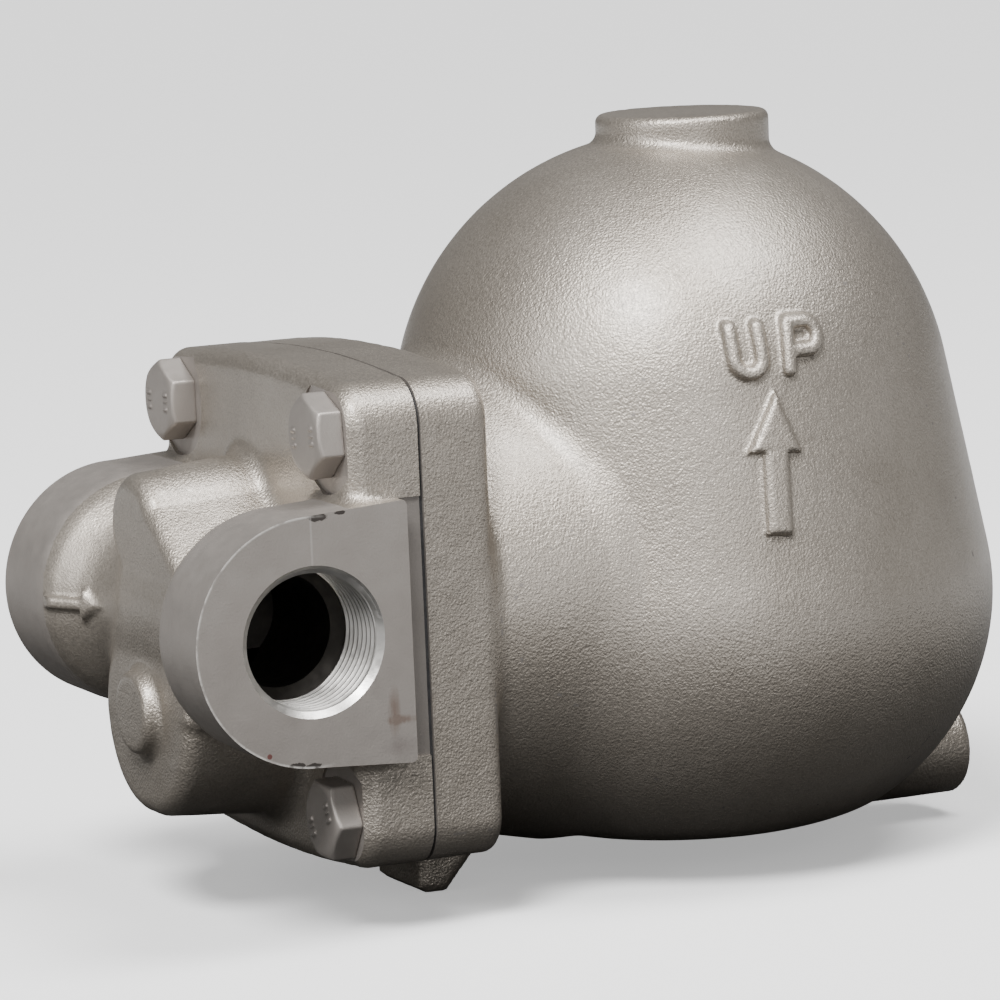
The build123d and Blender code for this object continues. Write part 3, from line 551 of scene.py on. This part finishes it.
def soften(item, flat, angle=38.0):
    """Smooth shading, with sharp bends left crisp and a face flat where flat is true."""
    mesh = item.data
    mesh.shade_smooth()
    normals = np.zeros(len(mesh.polygons) * 3)
    mesh.polygons.foreach_get("normal", normals)
    normals = normals.reshape(-1, 3)
    loops = np.zeros(len(mesh.loops), np.int64)
    mesh.loops.foreach_get("edge_index", loops)
    totals = np.zeros(len(mesh.polygons), np.int64)
    mesh.polygons.foreach_get("loop_total", totals)
    owner = np.repeat(np.arange(len(totals)), totals)
    order = np.argsort(loops, kind="stable")
    edges, faces = loops[order], owner[order]
    same = np.flatnonzero(edges[1:] == edges[:-1])
    bend = (normals[faces[same]] * normals[faces[same + 1]]).sum(1)
    sharp = np.zeros(len(mesh.edges), bool)
    sharp[edges[same]] = bend < math.cos(math.radians(angle))
    mesh.polygons.foreach_set("use_smooth", ~flat)
    attribute = mesh.attributes.get("sharp_edge")
    if attribute is None:
        attribute = mesh.attributes.new("sharp_edge", "BOOLEAN", "EDGE")
    attribute.data.foreach_set("value", sharp)
    mesh.update()


# ==== materials ==========================================================================
class Nodes:
    """Short calls for building one material's node tree."""

    def __init__(self, name):
        self.material = bpy.data.materials.new(name)
        self.material.use_nodes = True
        self.tree = self.material.node_tree
        self.shader = self.tree.nodes["Principled BSDF"]
        self.place = self.add("ShaderNodeTexCoord").outputs["Object"]

    def add(self, kind, inputs=(), **settings):
        node = self.tree.nodes.new(kind)
        for key, value in settings.items():
            setattr(node, key, value)
        for key, value in dict(inputs).items():
            if isinstance(value, bpy.types.NodeSocket):
                self.tree.links.new(value, node.inputs[key])
            else:
                node.inputs[key].default_value = value
        return node

    def link(self, output, name):
        self.tree.links.new(output, self.shader.inputs[name])

    def noise(self, scale, detail=2.0, roughness=0.5):
        inputs = {"Vector": self.place, "Scale": scale, "Detail": detail, "Roughness": roughness}
        return self.add("ShaderNodeTexNoise", inputs).outputs["Fac"]

    def ramp(self, factor, low, high, dark, light):
        """Colour ramp between two stops."""
        node = self.add("ShaderNodeValToRGB", {"Fac": factor})
        for stop, place, colour in zip(node.color_ramp.elements, (low, high), (dark, light)):
            stop.position = place
            stop.color = (*colour, 1.0)
        return node.outputs["Color"]

    def spread(self, factor, low, high, to_low, to_high):
        """Remaps a value between two ranges and clamps it."""
        inputs = {"Value": factor, "From Min": low, "From Max": high,
                  "To Min": to_low, "To Max": to_high}
        return self.add("ShaderNodeMapRange", inputs).outputs["Result"]

    def mix(self, factor, one, two, blend="MIX"):
        """Mix of two colours: the node's sockets 6, 7 and 2 are its colour ones."""
        inputs = {0: factor, 6: one, 7: two}
        return self.add("ShaderNodeMix", inputs, data_type="RGBA", blend_type=blend).outputs[2]

    def maths(self, operation, one, two):
        return self.add("ShaderNodeMath", {0: one, 1: two}, operation=operation).outputs[0]

    def vector(self, operation, one, two):
        return self.add("ShaderNodeVectorMath", {0: one, 1: two}, operation=operation)

    def bump(self, height, distance, strength=1.0, after=None):
        inputs = {"Height": height, "Distance": distance, "Strength": strength}
        if after is not None:
            inputs["Normal"] = after
        return self.add("ShaderNodeBump", inputs).outputs["Normal"]

    def near(self, point, reach, squash=(1.0, 1.0, 1.0)):
        """1 at a point of the object, in millimetres about the middle, and 0 beyond reach."""
        spot = (Vector(point) + Vector(MIDDLE)) / MM
        off = self.vector("SUBTRACT", self.place, tuple(spot)).outputs["Vector"]
        return self.spread(self.length(off, squash), reach / MM, 0.0, 0.0, 1.0)

    def length(self, offset, squash):
        """Length of an offset, each of its directions stretched first."""
        stretched = self.vector("MULTIPLY", offset, squash).outputs["Vector"]
        return self.vector("LENGTH", stretched, (0.0, 0.0, 0.0)).outputs["Value"]


# Linear colours, each paint with the dark and the light end of its mottling.
PAINT_DARK = (0.325, 0.289, 0.246)
PAINT_LIGHT = (0.42, 0.379, 0.330)
CUT_PAINT_DARK = (0.310, 0.282, 0.258)
CUT_PAINT_LIGHT = (0.36, 0.330, 0.304)
RUST = (0.15, 0.085, 0.055, 1.0)
SMUDGE = (0.16, 0.13, 0.125, 1.0)
CHIP = (0.035, 0.029, 0.026, 1.0)
RED = (0.16, 0.035, 0.03, 1.0)
SEAM = (0.62, 0.59, 0.56, 1.0)
# Light colour for a line along the outer edge of the port boss: a painted highlight.
PAINTED_RIM_HIGHLIGHT = (0.72, 0.69, 0.65, 1.0)


def cast_paint(name):
    """Warm grey metallic paint over sand-cast iron, with orange peel."""
    n = Nodes(name)
    pebble = n.noise(1800.0, 1.2)
    broad = n.noise(760.0)
    colour = n.ramp(n.noise(26.0, 4.0, 0.6), 0.3, 0.7, PAINT_DARK, PAINT_LIGHT)
    speck = n.ramp(pebble, 0.32, 0.55, (0.80, 0.79, 0.78), (1.02, 1.02, 1.02))
    n.link(n.mix(0.7, colour, speck, "MULTIPLY"), "Base Color")
    n.link(n.spread(n.noise(1400.0), 0.3, 0.7, 0.50, 0.36), "Roughness")
    n.shader.inputs["Metallic"].default_value = 0.8
    calm = n.spread(n.near((-34.0, -16.0, 0.0), 34.0), 0.0, 0.5, 1.0, 0.4)
    first = n.bump(broad, 0.00011, calm)
    n.link(n.bump(pebble, 0.00020, calm, first), "Normal")
    n.shader.inputs["Coat Weight"].default_value = 0.5
    n.shader.inputs["Coat Roughness"].default_value = 0.28
    return n


def machined_paint(name, shade=1.0):
    """The same paint over a turned or milled face: flatter, with faint tool lines."""
    n = Nodes(name)
    dark, light = [tuple(shade * c for c in tone) for tone in (CUT_PAINT_DARK, CUT_PAINT_LIGHT)]
    n.link(n.ramp(n.noise(60.0, 3.0, 0.6), 0.3, 0.7, dark, light), "Base Color")
    n.link(n.spread(n.noise(300.0), 0.3, 0.7, 0.55, 0.47), "Roughness")
    n.shader.inputs["Metallic"].default_value = 0.7
    n.link(n.bump(n.noise(1700.0), 0.00004), "Normal")
    return n


def worn_port_paint_and_highlight(name):
    """Machined paint with a rusty rub by the flat edge, chipped edges, a casting seam and a painted
    highlight along the boss's outer edge.
    """
    n = machined_paint(name)
    colour = n.shader.inputs["Base Color"].links[0].from_socket

    def spot(y, z, reach, squash=(1.0, 1.0, 1.0)):
        """1 at a point of the port face and 0 beyond reach."""
        return n.near((PORT_X, y, z), reach, squash)

    streaks = n.add("ShaderNodeMapping", {"Vector": n.place, "Scale": (1.0, 1.0, 0.16)})
    streaks = n.add("ShaderNodeTexNoise", {"Vector": streaks.outputs["Vector"], "Scale": 900.0,
                                           "Detail": 3.0}).outputs["Fac"]
    broken = n.noise(520.0, 3.0, 0.7)
    rub = n.maths("ADD", spot(18.6, -17.5, 7.5, (1.0, 3.6, 1.0)),
                  spot(20.6, -19.6, 5.5, (1.0, 1.0, 4.0)))
    rub = n.spread(n.maths("MULTIPLY", rub, streaks), 0.08, 0.42, 0.0, 0.55)
    colour = n.mix(rub, colour, RUST)
    smudge = n.maths("MULTIPLY", spot(19.6, -25.4, 6.0, (1.0, 1.0, 1.6)), broken)
    colour = n.mix(n.spread(smudge, 0.1, 0.5, 0.0, 0.4), colour, SMUDGE)

    flat = (1.0, 1.0, 2.6)
    chips = spot(2.0, 27.7, 3.6, flat)
    for y, z, reach in ((7.4, 28.3, 2.0), (-5.6, -27.2, 3.2), (-1.6, -27.6, 2.8)):
        chips = n.maths("MAXIMUM", chips, spot(y, z, reach, flat))
    chips = n.maths("ADD", chips, n.maths("MULTIPLY", broken, 0.9))
    colour = n.mix(n.spread(chips, 0.76, 0.86, 0.0, 0.9), colour, CHIP)
    colour = n.mix(n.spread(spot(-11.9, -24.3, 1.0), 0.35, 0.45, 0.0, 0.8), colour, RED)

    split = n.add("ShaderNodeSeparateXYZ", {"Vector": n.place})
    off_seam = n.maths("ABSOLUTE", n.maths("SUBTRACT", split.outputs["Y"], 0.0004), 0.0)
    seam = n.maths("MULTIPLY", n.spread(off_seam, 0.00008, 0.00035, 0.3, 0.0),
                   n.spread(split.outputs["Z"], 0.012, 0.016, 0.0, 1.0))
    colour = n.mix(seam, colour, SEAM)
    # A thin light line along the outer edge of the port face, on its -Y half only, is a painted
    # highlight standing in for light caught by a rounded edge.
    out = n.length(n.place, (0.0, 1.0, 1.0))
    off_rim = n.maths("ABSOLUTE", n.maths("SUBTRACT", out, (BOSS_R - 0.15) / MM), 0.0)
    rim_highlight = n.maths("MULTIPLY", n.spread(off_rim, 0.0001, 0.00045, 0.9, 0.0),
                  n.spread(n.noise(420.0), 0.38, 0.55, 0.25, 1.0))
    rim_highlight = n.maths("MULTIPLY", rim_highlight, n.spread(split.outputs["Y"], -0.002, 0.004, 1.0, 0.0))
    n.link(n.mix(rim_highlight, colour, PAINTED_RIM_HIGHLIGHT), "Base Color")
    return n


def cut_metal(name, dark, light, rough):
    """Bare cut or pressed metal with fine scratches."""
    n = Nodes(name)
    n.link(n.ramp(n.noise(90.0, 4.0, 0.65), 0.3, 0.7, dark, light), "Base Color")
    n.link(n.spread(n.noise(500.0), 0.3, 0.7, rough + 0.07, rough - 0.05), "Roughness")
    n.shader.inputs["Metallic"].default_value = 0.95
    n.link(n.bump(n.noise(1500.0), 0.00002), "Normal")
    return n


def graphite(name):
    """Dull graphite sheet."""
    n = Nodes(name)
    colour = n.ramp(n.noise(400.0, 3.0), 0.3, 0.7, (0.012, 0.012, 0.013), (0.03, 0.03, 0.031))
    n.link(colour, "Base Color")
    n.link(n.spread(n.noise(700.0), 0.3, 0.7, 0.75, 0.6), "Roughness")
    n.link(n.bump(n.noise(1200.0), 0.00003), "Normal")
    return n


paint = cast_paint("cast_paint").material
machined = machined_paint("machined_paint").material
bolt_paint = machined_paint("bolt_paint").material
port_paint = worn_port_paint_and_highlight("worn_port_paint_and_highlight").material
bore_metal = cut_metal("bore_metal", (0.50, 0.485, 0.46), (0.68, 0.66, 0.63), 0.34).material
# The milled strip beside each port boss gets a darker copy of the machined paint. The darkening is
# painted shade for the boss's shadow on the strip, over a face that may be unpainted.
strip_paint_and_shade = machined_paint("strip_paint_and_shade", 0.72).material
# Near-black metal for the deep passages: the interior's own dark iron, and painted shade for where
# no light reaches.
raw_iron_and_shade = cut_metal("raw_iron_and_shade", (0.035, 0.032, 0.029), (0.07, 0.064, 0.058), 0.6).material
steel = cut_metal("stainless", (0.5, 0.5, 0.49), (0.62, 0.62, 0.61), 0.3).material
hard_steel = cut_metal("hardened_stainless", (0.38, 0.38, 0.38), (0.5, 0.5, 0.5), 0.26).material
float_steel = cut_metal("float_steel", (0.58, 0.58, 0.57), (0.68, 0.68, 0.67), 0.2).material
gasket_sheet = graphite("graphite").material

LOOKS = {"stainless": steel, "hardened_stainless": hard_steel, "float_steel": float_steel,
         "graphite": gasket_sheet, "casting_paint": paint, "painted_bolt": bolt_paint}
for entry in frame["record"]["subparts"]:
    node = frame["nodes"][entry["node"]]
    node.data.materials.clear()
    node.data.materials.append(LOOKS[entry["material_slot"]])


# ==== castings ==============================================================================
def make_body():
    """Connection body: cast shape, then joint face, ports, passages and bolt holes."""
    grid = (ticks((-66, -42, 1.1), (-42, -24, 0.8), (-24, 66, 1.1)),
            ticks((-31, -24, 1.0), (-24, -12, 0.8), (-12, 8, 1.1), (8, 18, 0.8), (18, 34, 1.2)),
            ticks((-60, -5, 1.1), (-5, 7, 0.6), (7, 60, 1.1)))
    body = cast_object("trap_body", body_field, grid, 11)
    past_joint, past_port = JOINT_Y + CUT_PAST, PORT_X + 9.0
    bore_end = PORT_X - THREAD_LENGTH
    steps = [("DIFFERENCE", block("joint_cut", (-FAR, JOINT_Y, -FAR), (FAR, past_joint, FAR)))]
    for side, inner_x in ((1, OUTLET_INNER_X), (-1, INLET_INNER_X)):
        bore = [(inner_x, PASSAGE_R), (bore_end - PASSAGE_CONE, PASSAGE_R), (bore_end, THREAD_R),
                (past_port, THREAD_R)]
        steps.append(("DIFFERENCE", turned("port_bore", bore, (0, 0, 0), (side, 0, 0))))
        steps.append(("UNION", thread_ridge("port_thread", side)))
        mouth = [(PORT_X - 1.2, THREAD_R - 1.0), (PORT_X, MOUTH_R), (past_port, MOUTH_R)]
        steps.append(("DIFFERENCE", turned("port_mouth", mouth, (0, 0, 0), (side, 0, 0))))
        low, high = sorted((side * PORT_X, side * (PORT_X + CUT_PAST)))
        steps.append(("DIFFERENCE", block("port_face", (low, -FAR, -FAR), (high, FAR, FAR))))
        low, high = sorted((side * STRIP_X, side * (PORT_X + CUT_PAST)))
        steps.append(("DIFFERENCE", block("flange_strip", (low, BOSS_FLAT_Y, -STRIP_HALF_Z),
                                          (high, past_joint, STRIP_HALF_Z))))
    stepped = [(BOLT_SEAT_Y - 6.0, SPOT_FACE_R), (BOLT_SEAT_Y, SPOT_FACE_R),
               (BOLT_SEAT_Y, BOLT_HOLE_R), (JOINT_Y + DRILL_PAST, BOLT_HOLE_R)]
    for x, z in BOLT_PLACES:
        steps.append(("DIFFERENCE", turned("bolt_hole", stepped, (x, 0, z), ALONG_Y, 64)))
    steps.append(("DIFFERENCE", block("inlet_window", (WINDOW_X[0], 0, WINDOW_Z[0]),
                                      (WINDOW_X[1], JOINT_Y + DRILL_PAST, WINDOW_Z[1]))))
    chamber = [(-8.0, DISCHARGE_R), (DISCHARGE_END_Y, DISCHARGE_R),
               (DISCHARGE_END_Y, SEAT_HOLE_R), (JOINT_Y + DRILL_PAST, SEAT_HOLE_R)]
    steps.append(("DIFFERENCE", turned("discharge", chamber, (0, 0, VALVE_Z), ALONG_Y, 64)))
    return machine(body, steps)


def make_cover():
    """Float chamber cover: cast shape, then the hollow, joint face and bolt holes."""
    grid = (ticks((-78, 54, 1.4), (54, 72, 0.7), (72, 78, 1.4)),
            ticks((27, 52, 1.1), (52, 102, 1.4), (102, 132, 0.55), (132, 198, 1.4)),
            ticks((-74, -44, 1.2), (-44, 13, 1.4), (13, 66, 0.6), (66, 96, 1.4), (96, 108, 0.8)))
    cover = cast_object("trap_cover", cover_field, grid, 23)
    low, flank = math.degrees(LOW_ANGLE), math.degrees(FLANK_ANGLE)
    hollow = [(BOTTOM_Z + WALL, 0.0)]
    for arc_r, centre_r, centre_z, start, end in ((BOTTOM_R, 0.0, BOTTOM_C_Z, -90.0, -low),
                                                  (BELLY_ARC_R, BELLY_C, BELLY_Z, -low, flank),
                                                  (DOME_R, 0.0, DOME_C_Z, flank, 90.0)):
        for angle in np.radians(np.linspace(start, end, 18))[1:]:
            hollow.append((centre_z + (arc_r - WALL) * math.sin(angle),
                           max(centre_r + (arc_r - WALL) * math.cos(angle), 0.0)))
    opening = [(COVER_Y - 8.0, OPENING_R), (COVER_Y, OPENING_R), (OPENING_END_Y, OPENING_R + 7.0)]
    steps = [("DIFFERENCE", turned("hollow", hollow, (0, CHAMBER_Y, 0), (0, 0, 1))),
             ("DIFFERENCE", turned("opening", opening, (0, 0, 0), ALONG_Y)),
             ("DIFFERENCE", block("joint_cut", (-FAR, COVER_Y - CUT_PAST, -FAR),
                                  (FAR, COVER_Y, FAR)))]
    hole = [(COVER_Y - DRILL_PAST, BOLT_TAP_R), (COVER_Y + BOLT_TAP_DEPTH, BOLT_TAP_R)]
    for x, z in BOLT_PLACES:
        steps.append(("DIFFERENCE", turned("bolt_hole", hole, (x, 0, z), ALONG_Y, 48)))
    return machine(cover, steps)


def finish_casting(item, field, node):
    """Materials, shading and frame links of a machined casting."""
    painted, cut_face, thread, port_face, iron, strip = range(6)
    places = face_places(item)
    y, z = places[:, 1], places[:, 2]
    along, off_axis = np.abs(places[:, 0]), radius(y, z)
    on_port = along > PORT_X - ON_PLANE
    cut = field(*places.T) < -0.35
    bore = cut & (off_axis < THREAD_R + 0.9) & (along > 6.0) & (along < PORT_X - ON_PLANE)
    smooth_band = ~cut & (along > BOSS_INNER_X + 1.0) & (y < 10.0) & (np.abs(z) < BOSS_R + 1.5)
    inside = cut & ~bore & (along < PORT_X - 1.0) & (off_axis < THREAD_R)
    choice = np.where(cut | smooth_band, cut_face, painted)
    choice[bore] = thread
    choice[cut & on_port] = port_face
    # Passages deep inside get the near-black metal: partly the dark bare interior, partly painted
    # shade.
    choice[inside | (bore & (along < PORT_X - THREAD_LENGTH + 0.2))] = iron
    # The strip's darker paint is painted shade.
    choice[np.abs(along - STRIP_X) < ON_PLANE] = strip
    assign(item, [paint, machined, bore_metal, port_paint, raw_iron_and_shade, strip_paint_and_shade], choice)
    planes = [along - PORT_X, y - JOINT_Y, y - COVER_Y, y - BOLT_SEAT_Y]
    soften(item, np.abs(planes).min(0) < ON_PLANE)
    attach(item, "trap")
    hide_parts(node)


finish_casting(make_body(), body_field, "body_casting")
finish_casting(make_cover(), cover_field, "float_chamber_cover")


# ==== cover bolts ==============================================================================
def bolt_field(turn):
    """Field of one painted hexagon bolt about its own axis, its seat at y = 0."""
    def field(x, y, z):
        rho = radius(x, z)
        face = -y - BOLT_HEAD
        head = np.maximum(face, y)
        for k in range(3):
            angle = turn + k * math.pi / 3
            side = np.abs(x * math.cos(angle) + z * math.sin(angle)) - BOLT_FLATS / 2
            head = meet(head, side, 0.3)
        chamfer = (rho - BOLT_FLATS * 0.475 - (y + BOLT_HEAD) * math.sqrt(3)) / 2
        head = meet(head, chamfer, 0.4)
        u = x * math.cos(turn) + z * math.sin(turn)
        v = z * math.cos(turn) - x * math.sin(turn)
        bars = np.minimum(np.abs(np.abs(v) - 1.7), np.abs(v) + 0.3) - 0.5
        bars = np.maximum(bars, np.abs(np.abs(u) - 4.9) - 1.2)
        head = join(head, np.maximum(meet(bars, face - 0.4, 0.2), y), 0.2)
        shank = np.maximum(-y - 1.0, y - BOLT_LENGTH)
        return np.minimum(head, np.maximum(rho - BOLT_R, shank))
    return field


def make_bolt(number, place, turn):
    """One cover bolt, replacing its share of the bolts' CAD node."""
    field = bolt_field(turn)
    across = ticks((-10.2, 10.2, 0.42))
    points, quads = surface_net(field, across, ticks((-7.4, 1.2, 0.36), (1.2, 31.0, 1.5)), across)
    points, _ = pull_onto(field, points, 2)
    seat = np.array([place[0], BOLT_SEAT_Y, place[1]])
    bolt = new_object(f"cover_bolt_{number}", points + seat, quads)
    assign(bolt, [bolt_paint], np.zeros(len(quads)))
    soften(bolt, np.zeros(len(quads), bool), 60.0)
    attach(bolt, "trap")
    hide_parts("cover_bolts")


for number, (place, turn) in enumerate(zip(BOLT_PLACES, BOLT_TURNS), 1):
    make_bolt(number, place, turn)


# ==== stage, lights and camera ====================================================================
def towards(azimuth, elevation):
    """Unit vector to a direction: azimuth 0 is -Y and 90 is +X."""
    a, e = math.radians(azimuth), math.radians(elevation)
    return Vector((math.sin(a) * math.cos(e), -math.cos(a) * math.cos(e), math.sin(e)))


LIGHT_AIM = Vector((MID_X, 60.0, 10.0)) / MM
LIGHT_DISTANCE = 1.6


def add_light(name, kind, azimuth, elevation, energy, **settings):
    """Light in some direction from the object, facing it."""
    data = bpy.data.lights.new(name, kind)
    data.energy = energy
    for key, value in settings.items():
        setattr(data, key, value)
    lamp = bpy.data.objects.new(name, data)
    direction = towards(azimuth, elevation)
    lamp.location = LIGHT_AIM + direction * LIGHT_DISTANCE
    lamp.rotation_euler = direction.to_track_quat("Z", "Y").to_euler()
    bpy.context.scene.collection.objects.link(lamp)


def make_floor():
    """Wide pale floor under the foot, which throws little light up at the object."""
    floor = block("floor", (-6000, -6000, FOOT_Z - 20), (6000, 6000, FOOT_Z))
    n = Nodes("pale_floor")
    n.shader.inputs["Roughness"].default_value = 1.0
    n.shader.inputs["Specular IOR Level"].default_value = 0.0
    dark_below = n.near((0, 60, FOOT_Z), 900.0)
    bounce = n.ramp(dark_below, 0.1, 0.75, (0.5, 0.5, 0.5), (0.03, 0.03, 0.03))
    seen = n.add("ShaderNodeLightPath").outputs["Is Camera Ray"]
    n.link(n.mix(seen, bounce, (0.86, 0.86, 0.86, 1.0)), "Base Color")
    n.link(seen, "Emission Strength")
    n.shader.inputs["Emission Color"].default_value = (0.42, 0.42, 0.42, 1.0)
    floor.data.materials.append(n.material)


def make_world(strength):
    """Even white surroundings."""
    world = bpy.data.worlds.new("studio")
    world.use_nodes = True
    back = world.node_tree.nodes["Background"]
    back.inputs["Color"].default_value = (1.0, 1.0, 1.0, 1.0)
    back.inputs["Strength"].default_value = strength
    bpy.context.scene.world = world


def make_camera():
    """Camera looking at the outlet side, a little from above and slightly tilted."""
    azimuth, elevation, tilt = 65.10, 8.08, math.radians(2.39)
    distance, off_right, off_up = 1.3134, 0.03123, 0.00980
    aim = Vector((0.0, 0.040, 0.010)) + Vector(MIDDLE) / MM
    back = towards(azimuth, elevation)
    right = Vector((math.cos(math.radians(azimuth)), math.sin(math.radians(azimuth)), 0.0))
    up = back.cross(right)
    place = aim + back * distance + right * off_right + up * off_up
    tilted_right = right * math.cos(tilt) - up * math.sin(tilt)
    tilted_up = right * math.sin(tilt) + up * math.cos(tilt)
    data = bpy.data.cameras.new("camera")
    data.lens = 202.98
    data.sensor_width = 36.0
    data.clip_end = 30.0
    camera = bpy.data.objects.new("camera", data)
    turn = Matrix((tilted_right, tilted_up, back)).transposed().to_4x4()
    camera.matrix_world = Matrix.Translation(place) @ turn
    bpy.context.scene.collection.objects.link(camera)
    bpy.context.scene.camera = camera


make_floor()
make_world(0.15)
add_light("key", "SUN", 46, 50, 4.9, angle=math.radians(20))
add_light("over", "AREA", 130, 66, 28.0, shape="SQUARE", size=0.8)
add_light("front", "AREA", 84, 14, 5.0, shape="SQUARE", size=0.8)
add_light("side", "AREA", 16, 20, 9.0, shape="SQUARE", size=0.8)
make_camera()
